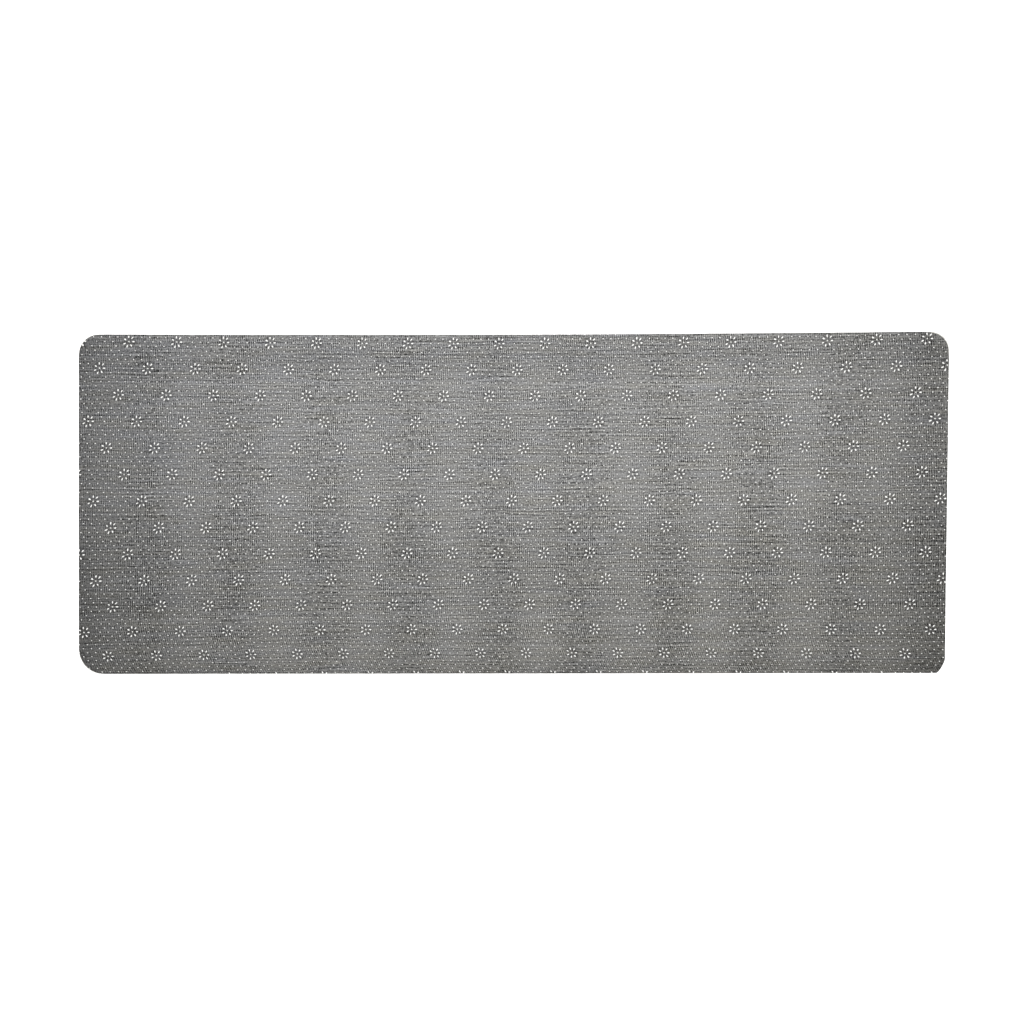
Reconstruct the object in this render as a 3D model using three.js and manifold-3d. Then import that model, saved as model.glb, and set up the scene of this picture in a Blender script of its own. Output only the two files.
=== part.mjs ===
// Anti-fatigue mat, as it lies turned over with its grip side up.
//
// The mat is a stack of sheets, glued together and then trimmed by hand in one go, so they all share
// one outline. From the floor up they are the walking cloth, a web of hot-melt glue, the foam cushion,
// a second web, the backing cloth and the raised vinyl grip print.
//
// Millimetres. The origin is on the floor at the middle of the outline's box, +X runs along the length,
// +Y to the far long edge and +Z up through the sheets.

import * as THREE from "three";
import Module from "manifold-3d";
import { mergeVertices } from "three/addons/utils/BufferGeometryUtils.js";

const wasm = await Module();
wasm.setup();

// ---- Driving dimensions: the outline ----

const MAT_LENGTH = 1001.2;
const MAT_WIDTH = 392.3;
const FAR_EDGE_WAIST = 1.8; // how far the far long edge is drawn in at its middle

// One entry for each corner, in order round the outline. The knife left the corner `shortInX` and
// `shortInY` inside the box, and rounds it off over `alongX` of the long edge and `alongY` of the end.
// A fullness of 0.55 is a round corner, and a lower one is a flatter snip.
const ROUND = 0.55;
const SNIPPED = 0.3;
const CORNERS = [
  { x: -1, y: -1, shortInX: 0, shortInY: 0.7, alongX: 27.5, alongY: 27.5, fullness: ROUND },
  { x: 1, y: -1, shortInX: 6, shortInY: 0, alongX: 10, alongY: 17, fullness: SNIPPED },
  { x: 1, y: 1, shortInX: 0, shortInY: 0, alongX: 21, alongY: 21, fullness: ROUND },
  { x: -1, y: 1, shortInX: 0.6, shortInY: 1.6, alongX: 22, alongY: 22, fullness: ROUND },
];
const SEGMENTS_PER_CURVE = 10;

// ---- Driving dimensions: the sheets, in order from the floor up ----

const WALKING_CLOTH_THICKNESS = 1.8;
const GLUE_WEB_THICKNESS = 0.15;
const FOAM_THICKNESS = 9;
const BACKING_CLOTH_THICKNESS = 0.7;

// ---- Driving dimensions: the grip print ----

const PRINT_FILM_THICKNESS = 0.15; // the film that joins the flowers here
const FLOWER_HEIGHT = 0.5; // from the backing cloth to the top of a flower
const FLOWER_DIAMETER = 12.6;
const PETALS = 7;
const FLOWER_PITCH = 52.47; // along a row
const ROW_PITCH = 30.18; // from row to row
const ROW_SHIFT = 0.358; // how far each nearer row steps along, as a share of the flower pitch
const FIRST_FLOWER = { x: -3, y: 2.7 }; // the flower nearest the middle of the mat

// How far the cloth was pulled as it was laid on the foam, at the ends and the long edges of the mat.
const PULL_TO_RIGHT = 7.2;
const PULL_TO_ENDS = 17.4;
const PULL_AT_EDGES = 6.9;
const LIFT_AT_RIGHT = 0.92;
const SPREAD_AT_ENDS = 4.2;
const BOW_AT_EDGES = 4.2;
const SQUEEZE_AT_EDGES = 4.5;
const NEAR_EDGE_DRAG = 22.2; // along the near edge, where the cloth was dragged to the right
const DRAGGED_WIDTH = 89; // how far in from the near edge the drag reaches

// A flower that the knife leaves less than this share of isn't worth a pad.
const LEAST_FLOWER_SHARE = 0.35;

// ---- Materials ----

const materials = {
  walkingCloth: new THREE.MeshStandardMaterial({ color: 0xc4c1ba, roughness: 0.95, metalness: 0 }),
  glue: new THREE.MeshStandardMaterial({ color: 0xe4dfcf, roughness: 0.5, metalness: 0 }),
  foam: new THREE.MeshStandardMaterial({ color: 0xd9d6cc, roughness: 0.9, metalness: 0 }),
  backingCloth: new THREE.MeshStandardMaterial({ color: 0x82817e, roughness: 0.9, metalness: 0 }),
  vinyl: new THREE.MeshStandardMaterial({ color: 0xedece8, roughness: 0.45, metalness: 0 }),
};

// ---- The outline ----

// Where the two edges at a corner would meet before it was rounded off.
function cornerPoint(corner) {
  return new THREE.Vector2(
    corner.x * (MAT_LENGTH / 2 - corner.shortInX),
    corner.y * (MAT_WIDTH / 2 - corner.shortInY),
  );
}

function pointTowards(from, to, distance) {
  return from.clone().add(to.clone().sub(from).setLength(distance));
}

// The rounded outline, counter-clockwise from the near left corner.
function matOutline() {
  const points = CORNERS.map(cornerPoint);
  const outline = new THREE.Shape();
  CORNERS.forEach((corner, index) => {
    const before = points[(index + CORNERS.length - 1) % CORNERS.length];
    const point = points[index];
    const after = points[(index + 1) % CORNERS.length];
    const arrivesOnLongEdge = corner.x === corner.y * -1;
    const [cutBefore, cutAfter] = arrivesOnLongEdge
      ? [corner.alongX, corner.alongY]
      : [corner.alongY, corner.alongX];
    const start = pointTowards(point, before, cutBefore);
    const end = pointTowards(point, after, cutAfter);
    const control1 = start.clone().lerp(point, corner.fullness);
    const control2 = end.clone().lerp(point, corner.fullness);
    const onFarEdge = corner.x === -1 && corner.y === 1;
    if (index === 0) {
      outline.moveTo(start.x, start.y);
    } else if (onFarEdge) {
      const middle = start.clone().add(outline.currentPoint).divideScalar(2);
      outline.quadraticCurveTo(middle.x, middle.y - 2 * FAR_EDGE_WAIST, start.x, start.y);
    } else {
      outline.lineTo(start.x, start.y);
    }
    outline.bezierCurveTo(control1.x, control1.y, control2.x, control2.y, end.x, end.y);
  });
  outline.closePath();
  return outline;
}

const outline = matOutline();

// ---- The sheets ----

function slab(shapes, thickness) {
  return new THREE.ExtrudeGeometry(shapes, {
    depth: thickness,
    bevelEnabled: false,
    curveSegments: SEGMENTS_PER_CURVE,
  });
}

const mat = new THREE.Group();
let stackHeight = 0;

function lay(name, geometry, material, thickness) {
  const sheet = new THREE.Mesh(geometry, material);
  sheet.name = name;
  sheet.position.z = stackHeight;
  mat.add(sheet);
  stackHeight += thickness;
}

function laySheet(name, material, thickness) {
  lay(name, slab(outline, thickness), material, thickness);
}

// ---- The grip print ----

// Where the flower at this column and row ended up, once the cloth had been pulled into place.
function flowerPlace(column, row) {
  const x = FIRST_FLOWER.x + FLOWER_PITCH * (column - ROW_SHIFT * row);
  const y = FIRST_FLOWER.y + ROW_PITCH * row;
  const u = x / (MAT_LENGTH / 2);
  const v = y / (MAT_WIDTH / 2);
  const dragged = Math.max(0, 1 - (y + MAT_WIDTH / 2) / DRAGGED_WIDTH);
  return new THREE.Vector2(
    x + PULL_TO_RIGHT * u ** 2 + PULL_TO_ENDS * u ** 3 - PULL_AT_EDGES * v ** 2
      + NEAR_EDGE_DRAG * dragged ** 2,
    y + LIFT_AT_RIGHT * u ** 2 * (1 + u) + SPREAD_AT_ENDS * v * u ** 2
      + BOW_AT_EDGES * v ** 4 - SQUEEZE_AT_EDGES * v ** 3,
  );
}

// One low pad with a side for each petal stands for a flower's petals and its middle dot.
function flowerPad(place) {
  const pad = new THREE.Shape();
  for (let petal = 0; petal < PETALS; petal += 1) {
    const angle = Math.PI / 2 + (2 * Math.PI * petal) / PETALS;
    const x = place.x + (FLOWER_DIAMETER / 2) * Math.cos(angle);
    const y = place.y + (FLOWER_DIAMETER / 2) * Math.sin(angle);
    if (petal === 0) pad.moveTo(x, y);
    else pad.lineTo(x, y);
  }
  pad.closePath();
  return pad;
}

function solidFrom(geometry) {
  const bare = geometry.clone();
  bare.deleteAttribute("normal");
  bare.deleteAttribute("uv");
  const merged = mergeVertices(bare);
  return new wasm.Manifold(
    new wasm.Mesh({
      numProp: 3,
      vertProperties: merged.attributes.position.array,
      triVerts: new Uint32Array(merged.index.array),
    }),
  );
}

function geometryFrom(solid) {
  const mesh = solid.getMesh();
  const geometry = new THREE.BufferGeometry();
  geometry.setAttribute("position", new THREE.BufferAttribute(mesh.vertProperties, 3));
  geometry.setIndex(new THREE.BufferAttribute(mesh.triVerts, 1));
  geometry.computeVertexNormals();
  return geometry;
}

// The flowers that lie on the mat, cut at its outline and joined by a thin film.
function gripPrint() {
  const knife = solidFrom(slab(outline, FLOWER_HEIGHT));
  const lastRow = Math.ceil(MAT_WIDTH / 2 / ROW_PITCH) + 1;
  const lastColumn = Math.ceil(MAT_LENGTH / 2 / FLOWER_PITCH + ROW_SHIFT * lastRow) + 1;
  const pieces = [solidFrom(slab(outline, PRINT_FILM_THICKNESS))];
  for (let row = -lastRow; row <= lastRow; row += 1) {
    for (let column = -lastColumn; column <= lastColumn; column += 1) {
      const whole = solidFrom(slab(flowerPad(flowerPlace(column, row)), FLOWER_HEIGHT));
      const trimmed = whole.intersect(knife);
      if (trimmed.volume() > LEAST_FLOWER_SHARE * whole.volume()) pieces.push(trimmed);
    }
  }
  return geometryFrom(wasm.Manifold.union(pieces));
}

// ---- The mat, from the floor up ----

laySheet("face_fabric", materials.walkingCloth, WALKING_CLOTH_THICKNESS);
laySheet("face_glue_web", materials.glue, GLUE_WEB_THICKNESS);
laySheet("foam_core", materials.foam, FOAM_THICKNESS);
laySheet("backing_glue_web", materials.glue, GLUE_WEB_THICKNESS);
laySheet("backing_cloth", materials.backingCloth, BACKING_CLOTH_THICKNESS);
lay("grip_print", gripPrint(), materials.vinyl, FLOWER_HEIGHT);

export default mat;
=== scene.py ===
# %% [markdown]
# # A cushioned floor mat, lying turned over
#
# The real mat is a stack of sheets: a walking cloth, a soft foam cushion and a grey stitched backing cloth,
# glued together with two thin webs of hot-melt glue. White vinyl flowers and dots are printed on the
# backing, so that it grips a smooth floor. A hand-held knife trims the whole stack in one go.
#
# A plain model already gives each layer its size and place. It is loaded first, and nothing in it is moved
# or changed. Each plain layer is then hidden, and a detailed piece of the same size takes its place.

# %% Load the plain model
import math

import bpy
import numpy as np
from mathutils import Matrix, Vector, noise
from mathutils.geometry import delaunay_2d_cdt


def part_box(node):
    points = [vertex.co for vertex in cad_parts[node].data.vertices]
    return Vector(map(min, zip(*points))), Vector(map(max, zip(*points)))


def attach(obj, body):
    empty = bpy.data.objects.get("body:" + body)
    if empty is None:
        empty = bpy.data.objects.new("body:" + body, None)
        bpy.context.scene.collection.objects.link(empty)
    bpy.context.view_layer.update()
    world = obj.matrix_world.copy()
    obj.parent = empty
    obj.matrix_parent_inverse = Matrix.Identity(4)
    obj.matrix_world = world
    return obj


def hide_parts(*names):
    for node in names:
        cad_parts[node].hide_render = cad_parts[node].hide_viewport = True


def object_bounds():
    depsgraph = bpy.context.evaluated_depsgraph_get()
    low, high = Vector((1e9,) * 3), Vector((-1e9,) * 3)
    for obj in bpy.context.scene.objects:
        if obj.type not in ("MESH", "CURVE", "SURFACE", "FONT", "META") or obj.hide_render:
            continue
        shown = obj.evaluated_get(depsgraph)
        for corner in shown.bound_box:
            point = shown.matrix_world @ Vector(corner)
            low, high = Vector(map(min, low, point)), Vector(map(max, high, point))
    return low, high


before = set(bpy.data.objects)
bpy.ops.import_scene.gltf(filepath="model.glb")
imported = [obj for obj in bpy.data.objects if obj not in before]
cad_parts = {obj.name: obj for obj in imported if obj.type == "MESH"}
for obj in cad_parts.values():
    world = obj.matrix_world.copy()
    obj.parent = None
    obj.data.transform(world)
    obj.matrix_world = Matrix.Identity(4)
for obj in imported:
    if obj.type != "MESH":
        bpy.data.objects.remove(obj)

MM = 0.001
cad_low, cad_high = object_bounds()
mat_size = cad_high - cad_low
layer_box = {name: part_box(name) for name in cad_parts}
print(f"The mat is {mat_size.x / MM:.1f} by {mat_size.y / MM:.1f} by {mat_size.z / MM:.1f} mm")
for name, (low, high) in sorted(layer_box.items(), key=lambda layer: layer[1][0].z):
    print(f"{name} lies from {low.z / MM:.2f} to {high.z / MM:.2f} mm above the floor")

# %% [markdown]
# # The outline
#
# All the sheets share one outline, because one pass of the knife cuts them all. It could be drawn again
# here, but then two drawings would have to agree. It is safer to read it from the plain backing cloth, whose
# corners all lie on the outline. Seen from the middle of the mat they turn steadily round, so sorting them
# by their direction puts them in order.

# %% Read the outline, and walk round it in even steps
RIM_STEP = 2.5 * MM


def outline_of(plain_sheet):
    """The corners of a flat sheet's outline, counter-clockwise."""
    corners = {(round(v.co.x, 6), round(v.co.y, 6)) for v in plain_sheet.data.vertices}
    return np.array(sorted(corners, key=lambda point: math.atan2(point[1], point[0])))


def walk_round(corners, step):
    """Points about one step apart round a closed line, its own corners among them."""
    points = []
    for start, end in zip(corners, np.roll(corners, -1, axis=0)):
        count = max(1, round(np.linalg.norm(end - start) / step))
        points += [start + (end - start) * index / count for index in range(count)]
    return np.array(points)


def inward_directions(ring):
    """A unit vector at each point of a counter-clockwise ring, square to it and towards its inside."""
    along = np.roll(ring, -1, axis=0) - np.roll(ring, 1, axis=0)
    inward = np.stack([-along[:, 1], along[:, 0]], axis=1)
    return inward / np.linalg.norm(inward, axis=1, keepdims=True)


outline = outline_of(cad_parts["backing_cloth"])
rim = walk_round(outline, RIM_STEP)
rim_inward = inward_directions(rim)

# %% [markdown]
# # The plan of a sheet
#
# Every sheet needs the same points in plan: rows that follow the rim closely, where the edge is rounded and
# worn, and an even grid in the middle, which only carries slow swells. A Delaunay triangulation joins them
# into well-shaped triangles, whatever the outline does. It is made once, and all five sheets use it.

# %% Helpers that say where a point lies
def is_inside(points, ring):
    """For each point, whether it lies inside a closed ring."""
    inside = np.zeros(len(points), bool)
    for (x0, y0), (x1, y1) in zip(ring, np.roll(ring, -1, axis=0)):
        if y0 != y1:
            crosses = (points[:, 1] < y0) != (points[:, 1] < y1)
            inside ^= crosses & (points[:, 0] < x0 + (points[:, 1] - y0) * (x1 - x0) / (y1 - y0))
    return inside


def nearest_on(points, ring):
    """The place on a closed ring that is nearest to each point, and how far off it is."""
    places = np.zeros_like(points)
    gaps = np.full(len(points), np.inf)
    for start, end in zip(ring, np.roll(ring, -1, axis=0)):
        side = end - start
        share = np.clip((points - start) @ side / (side @ side), 0, 1)
        place = start + share[:, None] * side
        gap = np.linalg.norm(points - place, axis=1)
        places[gap < gaps] = place[gap < gaps]
        gaps = np.minimum(gaps, gap)
    return places, gaps


# %% Lay the points out and join them
ROW_INSETS = np.array([0, 0.5, 1.2, 2.4, 4.4]) * MM
GRID_STEP = 5 * MM


def middle_grid():
    """An even grid of points that fills the outline inside the rim's rows."""
    across = np.arange(cad_low.x, cad_high.x, GRID_STEP)
    along = np.arange(cad_low.y, cad_high.y, GRID_STEP * math.sqrt(3) / 2)
    grid = np.array([(x + GRID_STEP / 2 * (row % 2), y) for row, y in enumerate(along) for x in across])
    clear = nearest_on(grid, outline)[1] > ROW_INSETS[-1] + GRID_STEP / 2
    return grid[clear & is_inside(grid, outline)]


rim_rows = [rim + rim_inward * inset for inset in ROW_INSETS]
plan = np.vstack([*rim_rows, middle_grid()])
rim_edges = [(index, (index + 1) % len(rim)) for index in range(len(rim))]
INSIDE_ONLY = 1
joined = delaunay_2d_cdt([Vector(point) for point in plan], rim_edges, [], INSIDE_ONLY, 1e-8)
triangles = np.array(joined[2])
edge_distance = nearest_on(plan, outline)[1]
print(f"The plan has {len(plan)} points and {len(triangles)} triangles, {len(joined[0])} points kept")

# %% [markdown]
# # Slow swells
#
# Such a mat is sold rolled up, and the turns of the roll leave a row of low swells across it, here about
# 100 mm apart. On top of those the foam is never quite even. A simulation could find such shapes, but they
# are so low and regular that a wave with a little noise says it better and always comes out alike.

# %% The height of the swells
ROLL_WAVE = 100 * MM
ROLL_CREST = 27 * MM
ROLL_HEIGHT = 0.3 * MM
ROLL_WANDER = 0.9
ROLL_WANDER_SCALE = (9, 4)
ROLL_MIDDLE_SHARE = 0.8
ROLL_FADE_TO_FAR_EDGE = 0.35
LUMP_HEIGHT = 0.35 * MM
LUMP_LENGTH = 70 * MM
EDGE_SINK = 0.35 * MM
EDGE_SINK_REACH = 1.6 * MM


def roll_share(points):
    """From -1 in a trough that the roll left to 1 on a crest. The crests wander a little."""
    scale_x, scale_y = ROLL_WANDER_SCALE
    wander = np.array([noise.noise(Vector((x * scale_x, y * scale_y, 3.1))) for x, y in points])
    wave = np.cos(2 * math.pi * (points[:, 0] - ROLL_CREST) / ROLL_WAVE + ROLL_WANDER * wander)
    return wave * (ROLL_MIDDLE_SHARE - ROLL_FADE_TO_FAR_EDGE * points[:, 1] / cad_high.y)


def swell(points):
    """How far the laid cloth stands above or below the plain layer, in metres."""
    lumps = np.array([noise.noise(Vector((x, y, 0)) / LUMP_LENGTH) for x, y in points])
    return ROLL_HEIGHT * roll_share(points) + LUMP_HEIGHT * lumps


plan_roll = roll_share(plan)
plan_swell = swell(plan)
plan_sink = EDGE_SINK * np.exp(-edge_distance / EDGE_SINK_REACH)
print(f"The swells reach from {plan_swell.min() / MM:.2f} to {plan_swell.max() / MM:.2f} mm")

# %% [markdown]
# # One way to make all five sheets
#
# A sheet is a closed body: a top face, a bottom face and a cut wall round the rim. The wall has rows of its
# own, so that it can be hollowed, rounded or roughened, which is what tells cut foam from cut cloth. Each
# point also carries its distance from the edge, which the materials read: the backing is painted with shade
# there, the pile is darker there and the foam's cut wall yellows.

# %% Build a sheet from its heights and the profile of its cut edge
def closed_sheet(name, bottom, top, wall, trim=None):
    """A closed sheet over the plan. `wall` lists (share of the height, how far out) from the bottom up,
    and `trim` says how far inside the outline the knife left each point of the rim."""
    flat = plan.copy()
    count = len(rim)
    if trim is not None:
        for row, inset in enumerate(ROW_INSETS):
            fade = 1 - inset / ROW_INSETS[-1]
            flat[row * count:(row + 1) * count] += rim_inward * (trim * fade)[:, None]
    verts = [np.column_stack([flat, top]), np.column_stack([flat, bottom])]
    edge, low, high = flat[:count], bottom[:count], top[:count]
    for share, out in wall:
        row = edge - rim_inward * np.reshape(out, (-1, 1))
        verts.append(np.column_stack([row, low + share * (high - low)]))
    rows = [len(plan)] + [2 * len(plan) + count * index for index in range(len(wall))] + [0]
    faces = triangles.tolist() + (triangles[:, ::-1] + len(plan)).tolist()
    for under, over in zip(rows, rows[1:]):
        for index in range(count):
            beside = (index + 1) % count
            faces.append((under + index, under + beside, over + beside, over + index))
    mesh = bpy.data.meshes.new(name)
    mesh.from_pydata(np.vstack(verts).tolist(), [], faces)
    mesh.shade_smooth()
    on_wall = count * len(wall)
    write_values(mesh, "edge_distance", [edge_distance, edge_distance, np.zeros(on_wall)])
    write_values(mesh, "roll_share", [plan_roll, plan_roll, np.zeros(on_wall)])
    return show(name, mesh)


def write_values(mesh, name, parts):
    """Writes one number for each point of a mesh, for its material to read."""
    attribute = mesh.attributes.new(name, "FLOAT", "POINT")
    attribute.data.foreach_set("value", np.concatenate(parts).astype(np.float32))


def show(name, mesh):
    """Puts a mesh in the scene."""
    piece = bpy.data.objects.new(name, mesh)
    bpy.context.scene.collection.objects.link(piece)
    print(f"{name} has {len(mesh.polygons)} faces")
    return piece


# %% [markdown]
# # The walking cloth
#
# The face that is stood on is a cloth with a short, dense cut pile. It is underneath now, with its pile on
# the floor, so only its cut edge shows. The pile spreads a little where the knife has freed it, which the
# profile of the wall gives: it bulges out low down and draws in at the woven ground above.

# %% Helpers for heights and rough edges
def layer_heights(node):
    """The bottom and top of a plain layer, in metres above the floor."""
    low, high = layer_box[node]
    return low.z, high.z


def level(height):
    """One height for every point of the plan."""
    return np.full(len(plan), height)


def ragged(amount, size, seed):
    """A small random push in or out for each point of the rim."""
    return np.array([amount * noise.noise(Vector((x, y, seed)) / size) for x, y in rim])


# %% Make the walking cloth
pile_low, pile_high = layer_heights("face_fabric")
PILE_EDGE = [(0.12, 0.1), (0.35, 0.35), (0.6, 0.25), (0.85, -0.1)]
PILE_RAGGED = 0.25 * MM
TUFT_SIZE = 1.7 * MM
pile_wall = [(share, out * MM + ragged(PILE_RAGGED, TUFT_SIZE, 10 + share)) for share, out in PILE_EDGE]
walking_cloth = closed_sheet("walking_cloth", level(pile_low), level(pile_high), pile_wall)

# %% [markdown]
# # The cushion
#
# The cushion is a sheet of open-cell foam, 9 mm thick. A knife drags on foam and presses it down ahead of
# the blade, so that the wall springs back slightly hollow. Low down it also wanders in and out along its
# length, where the blade bends. Its top takes the swells, and its underside lies flat.

# %% Make the cushion
foam_low, foam_high = layer_heights("foam_core")
WALL_ROWS = 10
HOLLOW = 0.45 * MM
KNIFE_WANDER = 0.3 * MM
KNIFE_WANDER_LENGTH = 24 * MM
TORN_FOAM = 0.14 * MM
TORN_FOAM_SIZE = 2.6 * MM


def foam_wall():
    """Rows of a hollow, roughly cut wall."""
    wander = ragged(KNIFE_WANDER, KNIFE_WANDER_LENGTH, 20)
    rows = []
    for row in range(1, WALL_ROWS):
        share = row / WALL_ROWS
        hollow = HOLLOW * math.sin(math.pi * share)
        torn = ragged(TORN_FOAM, TORN_FOAM_SIZE, 30 + row * 0.35)
        rows.append((share, wander * (1 - share) - hollow + torn))
    return rows


foam_top = level(foam_high) + plan_swell - plan_sink
cushion = closed_sheet("cushion", level(foam_low), foam_top, foam_wall())

# %% [markdown]
# # The stitched backing cloth
#
# The backing is grey fleece, held together by rows of fine stitches. It follows the swells of the foam and
# sinks at the rim, where the knife pressed it down. At three of the corners it was trimmed a little shorter
# than the foam, so that a pale line of foam shows there from above.

# %% Say how far the knife trimmed the cloth inside the outline, and make the cloth
TRIM = 0.02 * MM
TRIM_WANDER = 0.1 * MM
SHORT_CORNERS = {(1, 1): 1.5 * MM, (-1, 1): 0.8 * MM, (-1, -1): 0.9 * MM}
CORNER_REACH = 17 * MM
TRIM_WANDER_LENGTH = 9 * MM
CORNER_RAGGED_SHARE = 0.5
CORNER_RAGGED_SIZE = 3 * MM


def cloth_trim():
    """How far inside the outline the backing ends, at each point of the rim."""
    trim = TRIM + ragged(TRIM_WANDER, TRIM_WANDER_LENGTH, 40)
    for (side, end), amount in SHORT_CORNERS.items():
        corner = np.array([side * cad_high.x, end * cad_high.y])
        inner = corner - np.array([side, end]) * CORNER_REACH / 2
        gap = np.linalg.norm(rim - inner, axis=1)
        uneven = amount + ragged(CORNER_RAGGED_SHARE * amount, CORNER_RAGGED_SIZE, 45)
        trim += uneven * np.exp(-(gap / CORNER_REACH) ** 4)
    return trim


backing_low, backing_high = layer_heights("backing_cloth")
backing_top = level(backing_high) + plan_swell - plan_sink
backing_bottom = level(backing_low) + plan_swell - plan_sink
trim = cloth_trim()
CLOTH_EDGE = [(0.15, 0.05), (0.5, 0.12), (0.85, 0.0)]
CLOTH_RAGGED = 0.1 * MM
FIBRE_SIZE = 1.2 * MM
cloth_wall = [(share, out * MM + ragged(CLOTH_RAGGED, FIBRE_SIZE, 50 + share)) for share, out in CLOTH_EDGE]
stitched_backing = closed_sheet("stitched_backing", backing_bottom, backing_top, cloth_wall, trim)
print(f"The backing ends {trim.min() / MM:.2f} to {trim.max() / MM:.2f} mm inside the outline")

# %% [markdown]
# # The two webs of glue
#
# Hot-melt glue comes as a web of fine threads, laid between the sheets and melted by hot rollers. All that
# is left of it is a thin film at each joint. It is modelled as two very thin sheets, because anyone who
# takes the mat apart finds them, and they show as a fine line in the cut edge.

# %% Make both webs
WEB_INSET = 0.1 * MM
web_wall = [(0.5, 0)]
web_trim = np.full(len(rim), WEB_INSET)
web_low, web_high = layer_heights("face_glue_web")
walking_cloth_glue = closed_sheet(
    "walking_cloth_glue", level(web_low), level(web_high), web_wall, web_trim)
web_low, web_high = layer_heights("backing_glue_web")
backing_rise = plan_swell - plan_sink
backing_glue = closed_sheet(
    "backing_glue", level(web_low) + backing_rise, level(web_high) + backing_rise, web_wall, trim + WEB_INSET)

# %% [markdown]
# # Where the print lies
#
# The grip print was made on a long, straight web of cloth: flowers in slanting rows, and small dots on a grid
# six times as fine. When the cloth was laid on the foam it was pulled out of shape, more so near the ends
# and the long edges, and along the near edge it was dragged to the right. Each spot is worked out in the
# straight print first. One formula then says where the pull has taken it. The plain model's flowers use the
# same formula, so the two can be compared.

# %% The straight print and the pull, in millimetres
FLOWER_PITCH = 52.47
ROW_PITCH = 30.18
ROW_SHIFT = 0.358
FIRST_FLOWER = np.array([-3.0, 2.7])
DOTS_PER_PITCH = 6
PULL_TO_RIGHT = 7.2
PULL_TO_ENDS = 17.4
PULL_AT_EDGES = 6.9
LIFT_AT_RIGHT = 0.92
SPREAD_AT_ENDS = 4.2
BOW_AT_EDGES = 4.2
SQUEEZE_AT_EDGES = 4.5
NEAR_EDGE_DRAG = 22.2
DRAGGED_WIDTH = 89
BACK_AND_FORTH = 12


def print_place(columns, rows):
    """Where the flowers at these columns and rows are in the straight print. Fractions give the dots."""
    steps = np.stack([FLOWER_PITCH * (columns - ROW_SHIFT * rows), ROW_PITCH * rows], axis=-1)
    return FIRST_FLOWER + steps


half_length = mat_size.x / MM / 2
half_width = mat_size.y / MM / 2


def pulled(points):
    """Where points of the straight print lie once the cloth is on the mat."""
    x, y = points[..., 0], points[..., 1]
    u, v = x / half_length, y / half_width
    dragged = np.maximum(0, 1 - (y + half_width) / DRAGGED_WIDTH)
    along = PULL_TO_RIGHT * u ** 2 + PULL_TO_ENDS * u ** 3 - PULL_AT_EDGES * v ** 2
    along += NEAR_EDGE_DRAG * dragged ** 2
    across = LIFT_AT_RIGHT * u ** 2 * (1 + u) + SPREAD_AT_ENDS * v * u ** 2
    across += BOW_AT_EDGES * v ** 4 - SQUEEZE_AT_EDGES * v ** 3
    return np.stack([x + along, y + across], axis=-1)


def unpulled(points):
    """Where points of the mat were in the straight print, found by going back and forth a few times."""
    guess = points.copy()
    for _ in range(BACK_AND_FORTH):
        guess += points - pulled(guess)
    return guess


# %% Lay out every flower and dot that the cloth can hold
cloth_rim = (rim + rim_inward * trim[:, None]) / MM
CLEAR_OF_FLOWER = 11.3
LATTICE_ROWS = 8
LATTICE_COLUMNS = 14


def lattice(per_pitch):
    """Columns and rows of a grid with so many steps to each flower, well past the mat's edges."""
    rows = np.arange(-LATTICE_ROWS * per_pitch, LATTICE_ROWS * per_pitch + 1)
    columns = np.arange(-LATTICE_COLUMNS * per_pitch, LATTICE_COLUMNS * per_pitch + 1)
    columns, rows = np.meshgrid(columns, rows)
    return columns.ravel(), rows.ravel()


def on_cloth(places):
    """Which places of the straight print end up on the trimmed cloth."""
    return is_inside(pulled(places), cloth_rim)


flower_places = print_place(*lattice(1))
columns, rows = lattice(DOTS_PER_PITCH)
half = DOTS_PER_PITCH // 2
from_flower = [(steps + half) % DOTS_PER_PITCH - half for steps in (columns, rows)]
offsets = print_place(*(steps / DOTS_PER_PITCH for steps in from_flower)) - FIRST_FLOWER
is_clear = np.linalg.norm(offsets, axis=1) > CLEAR_OF_FLOWER
dot_places = print_place(columns[is_clear] / DOTS_PER_PITCH, rows[is_clear] / DOTS_PER_PITCH)
middle_places = flower_places[on_cloth(flower_places)]
dot_places = dot_places[on_cloth(dot_places)]
print(f"{len(middle_places)} flowers and {len(dot_places)} small dots lie on the cloth")

# %% [markdown]
# # Soft spots of vinyl
#
# Each spot is thick liquid vinyl, pressed through a holed cylinder on to the cloth and cured with heat. It
# sets as a low dome with a rounded shoulder. One dome of a few rings of points is stretched into a petal or
# a dot and copied to every place with array sums, which is quick even for thousands of them. Their sizes
# and heights differ a little, as a worn printing cylinder leaves them.

# %% Helpers that make and place many domes at once
SUNK = 0.12


def dome(sides, shoulder):
    """Points and faces of a closed unit dome. `shoulder` lists (radius, height) from the bottom up."""
    turns = np.arange(sides) * 2 * math.pi / sides
    ring = np.stack([np.cos(turns), np.sin(turns)], axis=1)
    points = [np.column_stack([ring * radius, np.full(sides, height)]) for radius, height in shoulder]
    points = np.vstack([*points, [[0, 0, 1]]])
    top = len(points) - 1
    faces = [tuple(range(sides))[::-1]]
    for row in range(len(shoulder) - 1):
        for index in range(sides):
            under, beside = row * sides + index, row * sides + (index + 1) % sides
            faces.append((under, beside, beside + sides, under + sides))
    last = (len(shoulder) - 1) * sides
    faces += [(last + index, last + (index + 1) % sides, top) for index in range(sides)]
    return points, faces


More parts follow.
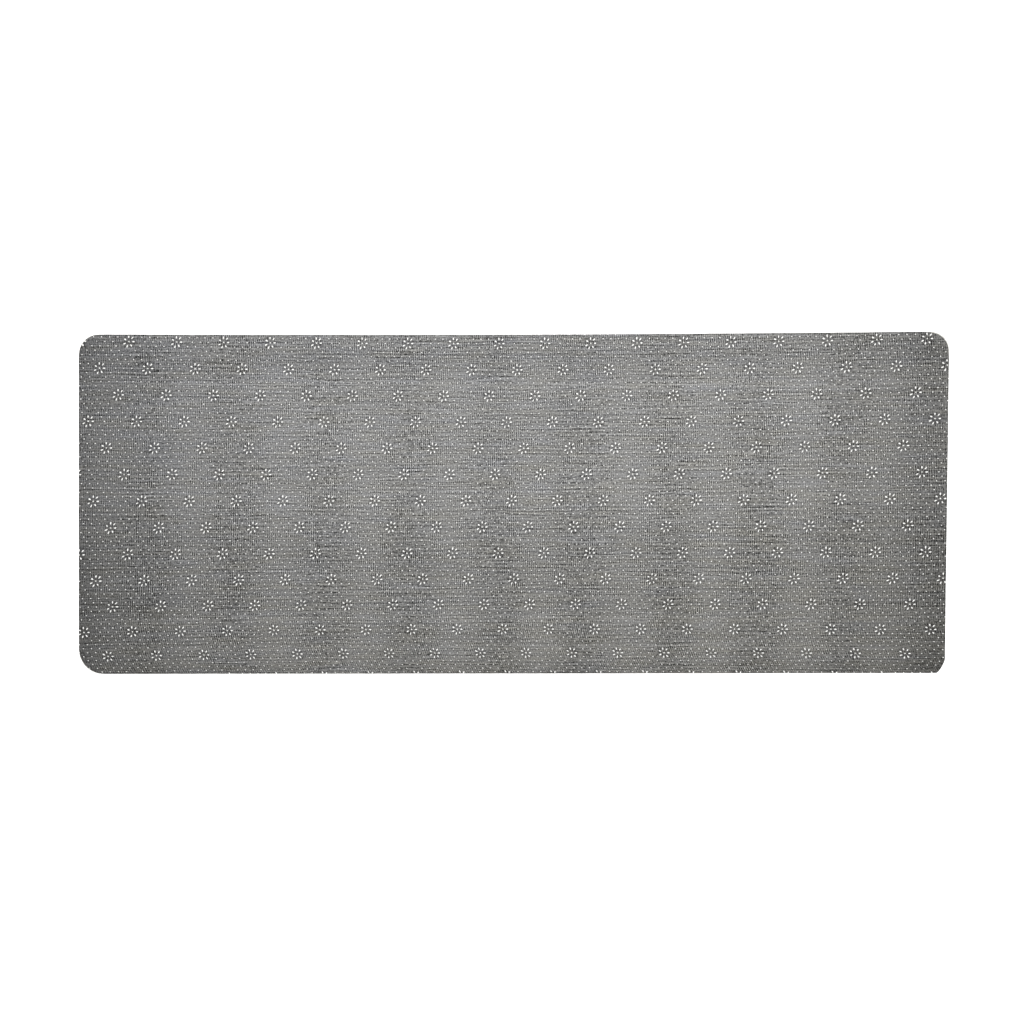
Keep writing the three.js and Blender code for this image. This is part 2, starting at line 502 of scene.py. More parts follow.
def spots_mesh(name, shapes, faces, heights, cover):
    """One mesh of many spots. `shapes` holds each spot's points in the straight print and their share of
    its height."""
    count, corners = shapes.shape[:2]
    flat = pulled(shapes[..., :2]).reshape(-1, 2)
    outside = np.flatnonzero(~is_inside(flat, cloth_rim))
    flat[outside] = nearest_on(flat[outside], cloth_rim)[0]
    ground = cloth_height(flat[::corners] * MM)
    rise = np.where(shapes[..., 2] < 0, -SUNK * MM, shapes[..., 2] * heights[:, None] * MM)
    points = np.column_stack([flat * MM, (ground[:, None] + rise).ravel()])
    mesh = bpy.data.meshes.new(name)
    mesh.from_pydata(points.tolist(), [], [
        tuple(index + spot * corners for index in face) for spot in range(count) for face in faces])
    mesh.shade_smooth()
    write_values(mesh, "print_cover", [np.repeat(cover, corners)])
    return show(name, mesh)


def cloth_height(points):
    """The height of the backing cloth's top at points of the mat, in metres."""
    gap = nearest_on(points, outline)[1]
    return backing_high + swell(points) - EDGE_SINK * np.exp(-gap / EDGE_SINK_REACH)


# %% Print the small dots
DOT_RADIUS = 0.76
DOT_HEIGHT = 0.38
DOT_SHOULDER = [(1, -1), (0.8, 0.62)]
DOT_SPREAD = 0.09
luck = np.random.default_rng(11)
dot_points, dot_faces = dome(7, DOT_SHOULDER)


def turned(points, angles):
    """Each spot's points turned in plan by an angle of its own."""
    cos, sin = np.cos(angles)[:, None], np.sin(angles)[:, None]
    x = points[..., 0] * cos - points[..., 1] * sin
    y = points[..., 0] * sin + points[..., 1] * cos
    return np.stack([x, y, np.broadcast_to(points[..., 2], x.shape)], axis=-1)


def scattered(places, points, radius, radius_spread):
    """The points of a round spot, copied to each place with a size and turn of its own."""
    count = len(places)
    turns = luck.uniform(0, 2 * math.pi, count)
    shapes = turned(np.broadcast_to(points, (count, *points.shape)).copy(), turns)
    sizes = radius * (1 + radius_spread * luck.normal(size=(count, 2)).clip(-2, 2))
    shapes[..., :2] = shapes[..., :2] * sizes[:, None, :] + places[:, None, :]
    return shapes


dot_shapes = scattered(dot_places, dot_points, DOT_RADIUS, DOT_SPREAD)
dot_heights = DOT_HEIGHT * luck.uniform(0.75, 1.15, len(dot_places))
dot_cover = luck.uniform(0.4, 1.1, len(dot_places))
grip_dots = spots_mesh("grip_dots", dot_shapes, dot_faces, dot_heights, dot_cover)

# %% [markdown]
# # The flowers
#
# A flower has seven drop-shaped petals round a middle dot, each with its fat end outwards. The print leans a
# little, so the ring of petals is sheared and stretched before it is placed.

# %% Print the flowers
PETALS = 7
FIRST_PETAL = math.radians(205.4)
PETAL_RING = 4.8
PETAL_LENGTH = 2.9
PETAL_WIDTH = 1.45
PETAL_HEIGHT = 0.5
MIDDLE_RADIUS = 0.83
MIDDLE_HEIGHT = 0.42
PRINT_LEAN = 0.235
PRINT_STRETCH = 1.11
FAT_END = 0.3
PETAL_SPREAD = 0.06
MIDDLE_SPREAD = 0.07
PETAL_SHOULDER = [(1, -1), (0.97, 0.4), (0.76, 0.82), (0.42, 0.97)]
petal_dome, petal_faces = dome(12, PETAL_SHOULDER)


def one_flower():
    """The points of the seven petals round the flower's middle."""
    fat = 1 + FAT_END * petal_dome[:, 0]
    drop = petal_dome * [PETAL_LENGTH / 2, PETAL_WIDTH / 2, 1]
    drop[:, 1] *= fat
    drop[:, 0] += PETAL_RING
    angles = FIRST_PETAL + 2 * math.pi * np.arange(PETALS) / PETALS
    petals = turned(np.broadcast_to(drop, (PETALS, *drop.shape)), angles)
    petals[..., 0] += PRINT_LEAN * petals[..., 1]
    petals[..., 1] *= PRINT_STRETCH
    return petals


def all_petals():
    """The points of every petal whose middle is on the cloth."""
    shapes = flower_places[:, None, None, :] + one_flower()[None, ..., :2]
    shapes = shapes.reshape(-1, len(petal_dome), 2)
    shapes = shapes[on_cloth(shapes.mean(axis=1))]
    middles = shapes.mean(axis=1, keepdims=True)
    sizes = 1 + PETAL_SPREAD * luck.normal(size=(len(shapes), 1, 2)).clip(-2, 2)
    shapes = middles + (shapes - middles) * sizes
    heights = np.broadcast_to(petal_dome[:, 2:], (len(shapes), len(petal_dome), 1))
    return np.concatenate([shapes, heights], axis=2)


petals = all_petals()
petal_heights = PETAL_HEIGHT * luck.uniform(0.85, 1.05, len(petals))
petal_cover = luck.uniform(0.75, 1, len(petals))
grip_petals = spots_mesh("grip_petals", petals, petal_faces, petal_heights, petal_cover)

# %% Print the middle dots, and compare the flowers with the plain model's
middle_dome, middle_faces = dome(10, PETAL_SHOULDER)
middles = scattered(middle_places, middle_dome, MIDDLE_RADIUS, MIDDLE_SPREAD)
middle_heights = MIDDLE_HEIGHT * luck.uniform(0.8, 1.05, len(middles))
middle_cover = luck.uniform(0.3, 0.8, len(middles))
grip_middles = spots_mesh("grip_flower_middles", middles, middle_faces, middle_heights, middle_cover)


def plain_pads():
    """The corners of the plain model's flower pads, in millimetres."""
    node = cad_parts["grip_print"]
    top = layer_box["grip_print"][1].z
    return np.array([(v.co.x, v.co.y) for v in node.data.vertices if v.co.z > top - 0.01 * MM]) / MM


pad_gaps = np.linalg.norm(plain_pads()[:, None] - pulled(flower_places)[None], axis=2).min(axis=1)
print(f"The plain pads' corners lie {pad_gaps.min():.2f} to {pad_gaps.max():.2f} mm from a flower's middle")

# %% [markdown]
# # Shader nodes from plain words
#
# Materials are built from nodes, and a script that links them one by one is hard to follow. A few short
# helpers make it read like the sum that it is: `put` adds a node, `feed` sets or links an input, and `plus`,
# `times` and `maths` do arithmetic. All textures work in millimetres, so that a size in a material can be
# compared with a ruler.

# %% Helpers for shader trees
def feed(tree, socket, value):
    """Links an input to another node's output, or sets it to a plain value."""
    if isinstance(value, bpy.types.NodeSocket):
        tree.links.new(value, socket)
    else:
        socket.default_value = value


def put(tree, kind, inputs=(), **settings):
    """A new node with its settings, and with its inputs fed by name or number."""
    made = tree.nodes.new("ShaderNode" + kind)
    for name, value in settings.items():
        setattr(made, name, value)
    for name, value in dict(inputs).items():
        feed(tree, made.inputs[name], value)
    return made


def maths(tree, operation, *values):
    """One step of arithmetic on numbers or outputs."""
    return put(tree, "Math", enumerate(values), operation=operation).outputs[0]


def times(tree, a, b):
    return maths(tree, "MULTIPLY", a, b)


def plus(tree, *values):
    """The sum of several numbers or outputs."""
    total = values[0]
    for value in values[1:]:
        total = maths(tree, "ADD", total, value)
    return total


def between(tree, value, low, high):
    """0 below `low`, 1 above `high`, and a soft step in between."""
    inputs = {"Value": value, "From Min": low, "From Max": high}
    return put(tree, "MapRange", inputs, interpolation_type="SMOOTHSTEP").outputs["Result"]


def blend(tree, share, first, second):
    """A mix of two colours."""
    made = put(tree, "Mix", data_type="RGBA")
    for name, value in (("Factor_Float", share), ("A_Color", first), ("B_Color", second)):
        feed(tree, next(socket for socket in made.inputs if socket.identifier == name), value)
    return next(socket for socket in made.outputs if socket.identifier == "Result_Color")


def shader_group(name, inputs, outputs):
    """An empty node group with named inputs and outputs. Inputs give their usual values."""
    tree = bpy.data.node_groups.new(name, "ShaderNodeTree")
    for socket_name, usual in inputs.items():
        kind = "NodeSocketVector" if isinstance(usual, tuple) else "NodeSocketFloat"
        socket = tree.interface.new_socket(socket_name, in_out="INPUT", socket_type=kind)
        socket.default_value = usual
    for socket_name, kind in outputs.items():
        tree.interface.new_socket(socket_name, in_out="OUTPUT", socket_type="NodeSocket" + kind)
    return tree, tree.nodes.new("NodeGroupInput").outputs, tree.nodes.new("NodeGroupOutput").inputs


def use(tree, group, **inputs):
    """Places a node group with values of its own. Underscores stand for spaces."""
    made = put(tree, "Group", node_tree=group)
    for name, value in inputs.items():
        feed(tree, made.inputs[name.replace("_", " ")], value)
    return made.outputs


# %% [markdown]
# # Effects that several materials share
#
# Fibres, foam and vinyl all have a grain, fine or slow, and near the sheets' cut edge the materials change
# colour. Each of these is a node group with a few named inputs. A group is built once, and every material
# that uses it gives its own values, so that a change to the group is a change to them all.

# %% Build the grain and edge groups
def grain_group():
    """Noise that is stretched by `Size`, in millimetres each way, spread evenly about zero."""
    usual = {"Vector": (0, 0, 0), "Size": (1, 1, 1), "Detail": 1.0, "Seed": 0.0}
    tree, given, out = shader_group("fine grain", usual, {"Value": "Float"})
    shrunk = put(tree, "VectorMath", {0: given["Vector"], 1: given["Size"]}, operation="DIVIDE").outputs[0]
    inputs = {"Vector": shrunk, "Scale": 1.0, "Detail": given["Detail"], "Roughness": 0.6, "W": given["Seed"]}
    pattern = put(tree, "TexNoise", inputs, noise_dimensions="4D").outputs[0]
    feed(tree, out["Value"], maths(tree, "SUBTRACT", pattern, 0.5))
    return tree


def edge_group():
    """How near a point is to the cut edge: 1 at the edge, and 0 at `Reach` millimetres and beyond."""
    tree, given, out = shader_group("cut edge", {"Reach": 2.0}, {"Mask": "Float"})
    distance = put(tree, "Attribute", attribute_name="edge_distance").outputs["Fac"]
    away = maths(tree, "DIVIDE", times(tree, distance, 1 / MM), given["Reach"])
    near = put(tree, "Clamp", {0: maths(tree, "SUBTRACT", 1, away)}).outputs[0]
    feed(tree, out["Mask"], maths(tree, "POWER", near, 2))
    return tree


fine_grain = grain_group()
cut_edge = edge_group()


def in_millimetres(tree):
    """The point being shaded, in millimetres of the mat's own frame."""
    place = put(tree, "TexCoord").outputs["Object"]
    return put(tree, "VectorMath", {0: place, 3: 1 / MM}, operation="SCALE").outputs[0]


def finish_material(tree, colour, roughness, height, distance, **constants):
    """Joins a colour, a roughness and a height to a Principled shader, with constants set on its sockets."""
    bump = put(tree, "Bump", {"Height": height, "Distance": distance * MM, "Strength": 1.0}).outputs[0]
    shader = put(tree, "BsdfPrincipled", {"Base Color": colour, "Roughness": roughness, "Normal": bump})
    for name, value in constants.items():
        shader.inputs[name.replace("_", " ")].default_value = value
    out = tree.nodes.new("ShaderNodeOutputMaterial")
    tree.links.new(shader.outputs[0], out.inputs["Surface"])


def new_material(name):
    """An empty material and its node tree."""
    material = bpy.data.materials.new(name)
    material.use_nodes = True
    material.node_tree.nodes.clear()
    return material, material.node_tree


# %% [markdown]
# # Grey stitched fleece
#
# The backing is a blend of dark and light fibres in long, thin wisps, so that it looks streaked along its
# length: olive and bluish greys lie side by side. Fine ribs of stitches cross the streaks, sharp in some
# places and matted down in others, and painted shade darkens the cloth between the petals and round the dots.
# The pattern belongs to the cloth and not to the mat, so it is drawn in the straight cloth's own places and
# then follows the pull, as the print does.
#
# The cloth is painted darker towards the ends and the near edge, as painted sheen and shade on the nap.
# That change is so slow that a short formula of the place on the mat is enough for it.

# %% Tell each point of the backing where it was in the straight cloth, and its painted sheen and shade
# Painted sheen and shade on the nap: its tone in the middle of the mat, and how that tone changes across it.
SHEEN_SHADE_AT_MIDDLE = 0.955
SHEEN_SHADE_TO_RIGHT = 0.03
SHEEN_SHADE_TO_FAR_EDGE = 0.11
SHEEN_SHADE_BEFORE_ENDS = 0.12
SHEEN_SHADE_AT_LONG_EDGES = 0.07
SHEEN_SHADE_AT_ENDS = 0.48


def painted_sheen_and_shade(u, v):
    """The painted sheen and shade of the nap at a share of the half length and the half width from the
    middle.
    """
    tone = SHEEN_SHADE_AT_MIDDLE + SHEEN_SHADE_TO_RIGHT * u + SHEEN_SHADE_TO_FAR_EDGE * v + SHEEN_SHADE_BEFORE_ENDS * u ** 2
    return tone - SHEEN_SHADE_AT_LONG_EDGES * v ** 2 - SHEEN_SHADE_AT_ENDS * u ** 4


def write_cloth_place(piece):
    """Writes every point's place in the straight cloth, in millimetres, and the painted sheen and shade of
    its nap.
    """
    points = np.array([vertex.co for vertex in piece.data.vertices])
    flat = unpulled(points[:, :2] / MM)
    attribute = piece.data.attributes.new("cloth_place", "FLOAT_VECTOR", "POINT")
    places = np.column_stack([flat, points[:, 2] / MM]).astype(np.float32)
    attribute.data.foreach_set("vector", places.ravel())
    nap_sheen_shade = painted_sheen_and_shade(points[:, 0] / cad_high.x, points[:, 1] / cad_high.y)
    write_values(piece.data, "nap_sheen_shade", [nap_sheen_shade])
    moved = np.linalg.norm(flat - points[:, :2] / MM, axis=1)
    print(f"The pull moved the cloth by up to {moved.max():.1f} mm")


write_cloth_place(stitched_backing)

# %% Make the fleece
RIB_PITCH = 2.39
COURSE_PITCH = 4.1
THREAD_WIDTH = 1.4
OLIVE_GREY = (0.1965, 0.192, 0.1755, 1)
BLUE_GREY = (0.1875, 0.189, 0.194, 1)
# How far the painted shade round a flower's middle and round a dot reaches, in millimetres.
FLOWER_SHADE_RADIUS = 7.0
DOT_SHADE_RADIUS = 2.3
# Light and dark bands that run the whole length of the cloth: how far across it, in millimetres from the
# mat's middle, how wide to each side, and how strong.
LONG_BANDS = (
    (175, 45, -0.07), (-68, 90, -0.09), (165, 17, -0.05), (135.5, 6, 0.09), (10, 16, 0.05), (-87, 5, 0.07),
    (-115, 8, -0.06), (-136, 7, 0.07), (-155, 5, -0.06), (-171, 7, 0.07), (-200, 12, -0.09))


def spot_distance(tree, place, per_pitch):
    """How far a point of the straight cloth is from the nearest spot of the print, in millimetres."""
    to_place = put(tree, "VectorMath", {0: place, 1: (*FIRST_FLOWER, 0)}, operation="SUBTRACT").outputs[0]
    parts = put(tree, "SeparateXYZ", {0: to_place}).outputs
    rows = maths(tree, "DIVIDE", parts["Y"], ROW_PITCH / per_pitch)
    steps = maths(tree, "DIVIDE", parts["X"], FLOWER_PITCH / per_pitch)
    columns = plus(tree, steps, times(tree, rows, ROW_SHIFT))
    off_row, off_column = (maths(tree, "WRAP", value, 0.5, -0.5) for value in (rows, columns))
    slant = plus(tree, off_column, times(tree, off_row, -ROW_SHIFT))
    across = times(tree, slant, FLOWER_PITCH / per_pitch)
    along = times(tree, off_row, ROW_PITCH / per_pitch)
    offset = put(tree, "CombineXYZ", {"X": across, "Y": along}).outputs[0]
    return put(tree, "VectorMath", {0: offset}, operation="LENGTH").outputs["Value"]


def long_bands(tree, across):
    """The sum of the long bands at a place across the cloth."""
    total = 0.0
    for centre, width, strength in LONG_BANDS:
        away = maths(tree, "ABSOLUTE", maths(tree, "SUBTRACT", across, centre))
        total = plus(tree, total, times(tree, between(tree, away, width, 0), strength))
    return total


# How strongly each part of the pattern shows in the cloth's tone.
# The threads are painted light on one flank and dark on the other, as painted light and shade.
SHORT_THREAD_SHADING = 0.95
LONG_THREAD_SHADING = 1.3
FIBRES = 3.1
PATCHES = 0.2
WISPS = 0.15
RIBS = 0.85
COURSES = 0.17
# Painted light on the crests of the swells and painted shade in their troughs.
ROLL_PAINTED_LIGHT = 0.09
# Painted shade along the backing's cut edge.
EDGE_SHADE = -0.35
# Painted shade between the petals and round the dots.
SHADE_BETWEEN_PETALS = -0.3
SHADE_ROUND_DOTS = -0.14
FAINT_BANDS = 0.25
# How far the painted shade along the cut edge reaches in from the edge and how far threads drift, both in
# millimetres, and how far courses wander, in radians.
EDGE_SHADE_REACH = 2.2
THREAD_DRIFT = 3
COURSE_WANDER = 9


def drifting_place(tree, straight):
    """The place in the straight cloth, shifted a little so that the threads aren't quite straight."""
    drift = use(tree, fine_grain, Vector=straight, Size=(75, 40, 1), Seed=1.0)[0]
    shift = put(tree, "CombineXYZ", {"Y": times(tree, drift, THREAD_DRIFT)}).outputs[0]
    return put(tree, "VectorMath", {0: straight, 1: shift}, operation="ADD").outputs[0]


def stitch_ribs(tree, grain, along):
    """Fine ribs across the cloth, strong in some places and matted down in others."""
    ribs = maths(tree, "SINE", times(tree, along, 2 * math.pi / RIB_PITCH))
    broken = plus(tree, 0.6, times(tree, grain((12, 1.9, 1), 17.0), 5))
    strength = times(tree, between(tree, grain((34, 22, 1), 7.0), -0.3, 0.25), broken)
    return times(tree, ribs, strength)


def stitch_courses(tree, grain, across):
    """Wandering lines along the cloth, which come and go."""
    wander = times(tree, grain((70, 14, 1), 14.0), COURSE_WANDER)
    courses = maths(tree, "SINE", plus(tree, times(tree, across, 2 * math.pi / COURSE_PITCH), wander))
    return times(tree, courses, between(tree, grain((28, 7, 1), 15.0), -0.12, 0.12))


def painted_shade_round_print(tree, straight):
    """The nap's painted sheen and shade, with painted shade added between the petals and round the dots."""
    from_flower = spot_distance(tree, straight, 1)
    from_dot = spot_distance(tree, straight, DOTS_PER_PITCH)
    in_ring = between(tree, from_flower, FLOWER_SHADE_RADIUS + 1, FLOWER_SHADE_RADIUS - 1)
    near_petals = times(tree, in_ring, between(tree, from_flower, 0.5, 2.5))
    near_dot = between(tree, from_dot, DOT_SHADE_RADIUS + 0.5, DOT_SHADE_RADIUS - 1)
    near_dot = times(tree, near_dot, between(tree, from_flower, CLEAR_OF_FLOWER - 1, CLEAR_OF_FLOWER))
    # The nap's painted sheen and shade.
    nap_sheen_shade = put(tree, "Attribute", attribute_name="nap_sheen_shade").outputs["Fac"]
    print_shade = plus(
        tree, 1.0, times(tree, near_petals, SHADE_BETWEEN_PETALS), times(tree, near_dot, SHADE_ROUND_DOTS))
    return times(tree, nap_sheen_shade, print_shade)


def fleece_material():
    material, tree = new_material("stitched fleece")
    straight = put(tree, "Attribute", attribute_name="cloth_place").outputs["Vector"]
    place = drifting_place(tree, straight)
    beside = put(tree, "VectorMath", {0: place, 1: (0, THREAD_WIDTH, 0)}, operation="ADD").outputs[0]

    def grain(size, seed, detail=1.0, where=place):
        return use(tree, fine_grain, Vector=where, Size=size, Seed=seed, Detail=detail)[0]

    def threads(size, seed):
        """Lines painted light along one side and dark along the other: painted light and shade on raised
        threads.
        """
        return maths(tree, "SUBTRACT", grain(size, seed), grain(size, seed, where=beside))

    wisps = grain((60, 9, 1), 2.0, 2.0)
    short_threads = threads((13, 1.4, 1), 3.0)
    long_threads = threads((50, 1.8, 1), 4.0)
    fibres = grain((1.6, 1.6, 1), 5.0)
    patches = grain((90, 50, 1), 6.0)
    parts = put(tree, "SeparateXYZ", {0: place}).outputs
    ribs = stitch_ribs(tree, grain, parts["X"])
    courses = stitch_courses(tree, grain, parts["Y"])
    # The swells' crests are painted lighter and their troughs darker, as painted light and shade.
    roll = put(tree, "Attribute", attribute_name="roll_share").outputs["Fac"]
    # Painted shade along the cut edge.
    edge_shade = use(tree, cut_edge, Reach=EDGE_SHADE_REACH)["Mask"]
    faint_bands = times(tree, grain((700, 7, 1), 16.0), FAINT_BANDS)
    bands = plus(tree, long_bands(tree, parts["Y"]), faint_bands)
    tone = plus(
        tree, 1.0, times(tree, short_threads, SHORT_THREAD_SHADING), times(tree, long_threads, LONG_THREAD_SHADING),
        times(tree, fibres, FIBRES), times(tree, patches, PATCHES), times(tree, wisps, WISPS),
        times(tree, ribs, RIBS), bands, times(tree, courses, COURSES), times(tree, roll, ROLL_PAINTED_LIGHT),
        times(tree, edge_shade, EDGE_SHADE))
    # Wisps carry the two hues, and the cloth as a whole turns slightly bluer to the far left.
    warmth = plus(
        tree, 0.5, times(tree, wisps, 1.9), times(tree, parts["X"], -0.0003), times(tree, parts["Y"], 0.0009))
    hue = blend(tree, warmth, OLIVE_GREY, BLUE_GREY)
    # Painted sheen and shade on the nap, and painted shade round the print.
    tone = times(tree, tone, painted_shade_round_print(tree, straight))
    colour = put(tree, "VectorMath", {0: hue, 3: tone}, operation="SCALE").outputs[0]
    height = plus(tree, fibres, times(tree, short_threads, 0.3), times(tree, ribs, 0.15))
    finish_material(
        tree, colour, 0.95, height, 0.25, Sheen_Weight=0.1, Sheen_Roughness=0.6, Specular_IOR_Level=0.2)
    return material


stitched_backing.data.materials.append(fleece_material())

# %% [markdown]
# # White vinyl
#
# Cured vinyl is smooth but not glossy, and thin spots let the grey of the cloth through. Each spot carries a
# number for how thickly it was printed, and the material mixes from grey to white by it.

# %% Make the vinyl
VINYL_WHITE = (0.91, 0.905, 0.885, 1)
THIN_VINYL = (0.62, 0.615, 0.59, 1)


def vinyl_material():
    material, tree = new_material("printed vinyl")
    place = in_millimetres(tree)
    cover = put(tree, "Attribute", attribute_name="print_cover").outputs["Fac"]
    skin = use(tree, fine_grain, Vector=place, Size=(0.35, 0.35, 0.35), Seed=8.0)[0]
    tone = use(tree, fine_grain, Vector=place, Size=(40, 20, 1), Seed=9.0)[0]
    thickness = plus(tree, cover, times(tree, tone, 0.5))
    colour = blend(tree, between(tree, thickness, 0.1, 1.0), THIN_VINYL, VINYL_WHITE)
    roughness = plus(tree, 0.48, times(tree, skin, 0.3))
    finish_material(tree, colour, roughness, skin, 0.03, Specular_IOR_Level=0.4)
    return material


printed_vinyl = vinyl_material()
for piece in (grip_dots, grip_petals, grip_middles):
    piece.data.materials.append(printed_vinyl)

# %% [markdown]
# # Cut foam
#
# Polyurethane foam is a froth of tiny open cells, which the knife leaves as small round pits. It is cream
# when new, and its cut wall yellows in the air. A Voronoi texture gives the pits, since cells are what it
# draws.

# %% Make the foam
FOAM_CREAM = (0.74, 0.725, 0.68, 1)
FOAM_YELLOWED = (0.68, 0.64, 0.54, 1)
CELL_SIZE = 0.7


def foam_material():
    material, tree = new_material("cut foam")
    place = in_millimetres(tree)
    cells = put(tree, "TexVoronoi", {"Vector": place, "Scale": 1 / CELL_SIZE}).outputs["Distance"]
    pits = between(tree, cells, 0.1, 0.75)
    tone = use(tree, fine_grain, Vector=place, Size=(12, 12, 4), Seed=10.0, Detail=2.0)[0]
    edge = use(tree, cut_edge, Reach=0.5)["Mask"]
    yellowed = plus(tree, times(tree, edge, 0.45), times(tree, tone, 0.8))
    aged = blend(tree, between(tree, yellowed, 0.0, 0.9), FOAM_CREAM, FOAM_YELLOWED)
    shade = plus(tree, 0.78, times(tree, pits, 0.28))
    colour = put(tree, "VectorMath", {0: aged, 3: shade}, operation="SCALE").outputs[0]
    finish_material(tree, colour, 0.92, pits, 0.22, Specular_IOR_Level=0.15)
    return material


cushion.data.materials.append(foam_material())

# %% [markdown]
# # Cut pile
#
# The walking cloth is a dense brush of short fibres. Up close each tuft is painted as a dot of light and
# shade, and from further off the pile is painted with soft lighter and darker sweeps: painted sheen and
# shade, as on brushed velvet. Sheen gives the pale glow that upright fibres have at a low angle.

# %% Make the pile
PILE_LIGHT = (0.6, 0.57, 0.52, 1)
PILE_SHADE = (0.42, 0.4, 0.36, 1)


def pile_material():
    material, tree = new_material("cut pile")
    place = in_millimetres(tree)
    tufts = use(tree, fine_grain, Vector=place, Size=(0.45, 0.45, 0.9), Seed=11.0, Detail=2.0)[0]
    # The sweeps are painted sheen and shade.
    painted_sweeps = use(tree, fine_grain, Vector=place, Size=(70, 35, 5), Seed=12.0, Detail=2.0)[0]
    edge = use(tree, cut_edge, Reach=1.5)["Mask"]
    # The pile is darker near its cut edge and on its whole cut wall.
    tone = plus(tree, 0.55, times(tree, tufts, 1.6), times(tree, painted_sweeps, 0.9), times(tree, edge, -0.15))
    colour = blend(tree, between(tree, tone, 0.0, 1.0), PILE_SHADE, PILE_LIGHT)
    finish_material(
        tree, colour, 0.95, tufts, 0.5, Sheen_Weight=0.35, Sheen_Roughness=0.5, Specular_IOR_Level=0.1)
    return material


walking_cloth.data.materials.append(pile_material())

# %% [markdown]
# # Melted glue
#
# Hot-melt glue cools to a milky film. The threads of the web are still there as slightly thicker lines,
# so the material draws a net of them with the borders between Voronoi cells.

# %% Make the glue
GLUE_FILM = (0.7, 0.66, 0.54, 1)
GLUE_THREAD = (0.82, 0.79, 0.69, 1)
NET_SIZE = 3.0


def glue_material():
    material, tree = new_material("melted glue")
    place = in_millimetres(tree)
    cells = {"Vector": place, "Scale": 1 / NET_SIZE}
    net = put(tree, "TexVoronoi", cells, feature="DISTANCE_TO_EDGE").outputs["Distance"]
    threads = maths(tree, "SUBTRACT", 1, between(tree, net, 0.02, 0.12))
    tone = use(tree, fine_grain, Vector=place, Size=(8, 8, 8), Seed=13.0)[0]
    colour = blend(tree, plus(tree, threads, times(tree, tone, 0.4)), GLUE_FILM, GLUE_THREAD)
    roughness = plus(tree, 0.5, times(tree, threads, -0.12))
    finish_material(tree, colour, roughness, threads, 0.05)
    return material


melted_glue = glue_material()
for piece in (walking_cloth_glue, backing_glue):
    piece.data.materials.append(melted_glue)

# %% [markdown]
# # What each piece stands for
#
# Every piece rides on the mat's one body and hides the plain layer that it stands for. Beside each piece the
# table gives that plain layer and the finish that the parts library knows it by.

# %% Ride and replace
STANDS_FOR = {
    walking_cloth: ("face_fabric", "walking_cloth"),
    walking_cloth_glue: ("face_glue_web", "hot_melt_glue"),
    cushion: ("foam_core", "cushion_foam"),
    backing_glue: ("backing_glue_web", "hot_melt_glue"),
    stitched_backing: ("backing_cloth", "backing_cloth"),
    grip_petals: ("grip_print", "grip_vinyl"),
    grip_middles: ("grip_print", "grip_vinyl"),
    grip_dots: ("grip_print", "grip_vinyl"),
}
for piece, (plain_layer, finish) in STANDS_FOR.items():
    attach(piece, "root")
    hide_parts(plain_layer)

print(f"{len(STANDS_FOR)} pieces stand for {len(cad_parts)} plain layers")

# %% [markdown]
# # A plain studio
#
# The mat lies on a white floor that runs out of sight, under one large, soft lamp that hangs along it, a
# little to the right and towards the far edge. The lamp is close enough for its light to fade towards the
# ends of the mat. A white sky fills the shadows, and to the camera it is plain white.

# %% Lay the floor
FLOOR_SIZE = 60.0
FLOOR_GLOW = 0.66
FLOOR_GAP = 0.02 * MM


def lay_floor():
    """A large white floor that glows a little, so that it stays white where the light has faded."""
    mesh = bpy.data.meshes.new("floor")
    side = FLOOR_SIZE / 2
    corners = [(-side, -side, 0), (side, -side, 0), (side, side, 0), (-side, side, 0)]
    mesh.from_pydata([(x, y, cad_low.z - FLOOR_GAP) for x, y, _ in corners], [], [(0, 1, 2, 3)])
    floor = bpy.data.objects.new("floor", mesh)
    bpy.context.scene.collection.objects.link(floor)
    material, tree = new_material("white floor")
    white = {"Base Color": (0.9, 0.9, 0.9, 1), "Roughness": 0.9, "Specular IOR Level": 0.0}
    glow = {"Emission Color": (1, 1, 1, 1), "Emission Strength": FLOOR_GLOW}
    shader = put(tree, "BsdfPrincipled", white | glow)
    out = tree.nodes.new("ShaderNodeOutputMaterial")
    tree.links.new(shader.outputs[0], out.inputs["Surface"])
    mesh.materials.append(material)


lay_floor()

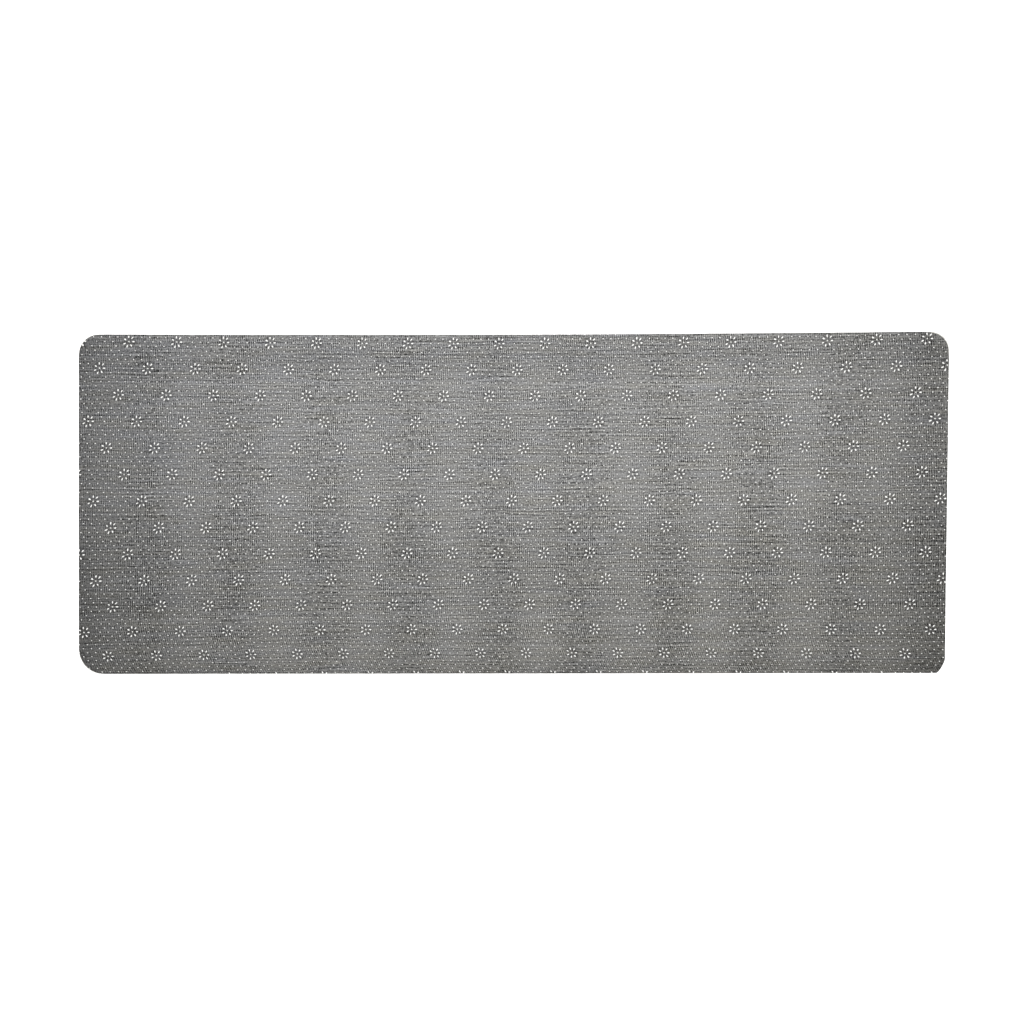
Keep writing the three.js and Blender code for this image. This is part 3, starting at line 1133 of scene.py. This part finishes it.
# %% Hang the lamp and light the sky
LAMP_PLACE = Vector((0.04, 0.13, 0.66))
LAMP_SIZE = (1.62, 0.86)
LAMP_POWER = 9.3
SKY_LIGHT = 0.43


def hang_lamp():
    """A long soft lamp, parallel to the mat, that the camera doesn't see."""
    light = bpy.data.lights.new("long soft lamp", "AREA")
    light.shape = "RECTANGLE"
    light.size, light.size_y = LAMP_SIZE
    light.energy = LAMP_POWER
    lamp = bpy.data.objects.new("long soft lamp", light)
    lamp.location = LAMP_PLACE
    lamp.visible_camera = False
    bpy.context.scene.collection.objects.link(lamp)


def light_sky():
    """A white sky that fills the shadows and looks plain white to the camera."""
    world = bpy.data.worlds.new("white sky")
    bpy.context.scene.world = world
    world.use_nodes = True
    tree = world.node_tree
    tree.nodes.clear()
    seen = put(tree, "LightPath").outputs["Is Camera Ray"]
    strength = plus(tree, SKY_LIGHT, times(tree, seen, 1 - SKY_LIGHT))
    sky = put(tree, "Background", {"Color": (1, 1, 1, 1), "Strength": strength})
    out = tree.nodes.new("ShaderNodeOutputWorld")
    tree.links.new(sky.outputs[0], out.inputs["Surface"])


hang_lamp()
light_sky()

# %% [markdown]
# # The camera
#
# The camera looks straight down from nearly three metres, with a long lens, so that the mat's outline stays
# true. The mat fills most of the frame's width and lies a little above its middle.

# %% Set the camera
LENS = 85
SENSOR = 36
VIEW_WIDTH = 1.1768
AIM = Vector((-2.45, -10.3)) * MM
ROLL = math.radians(-0.1026)


def set_camera():
    data = bpy.data.cameras.new("camera")
    data.lens, data.sensor_width = LENS, SENSOR
    data.clip_end = 2 * FLOOR_SIZE
    camera = bpy.data.objects.new("camera", data)
    distance = VIEW_WIDTH * LENS / SENSOR
    camera.location = (AIM.x, AIM.y, backing_high + distance)
    camera.rotation_euler = (0, 0, ROLL)
    bpy.context.scene.collection.objects.link(camera)
    bpy.context.scene.camera = camera
    bpy.context.scene.view_settings.view_transform = "Standard"
    print(f"The camera hangs {camera.location.z:.3f} m above the floor")


set_camera()
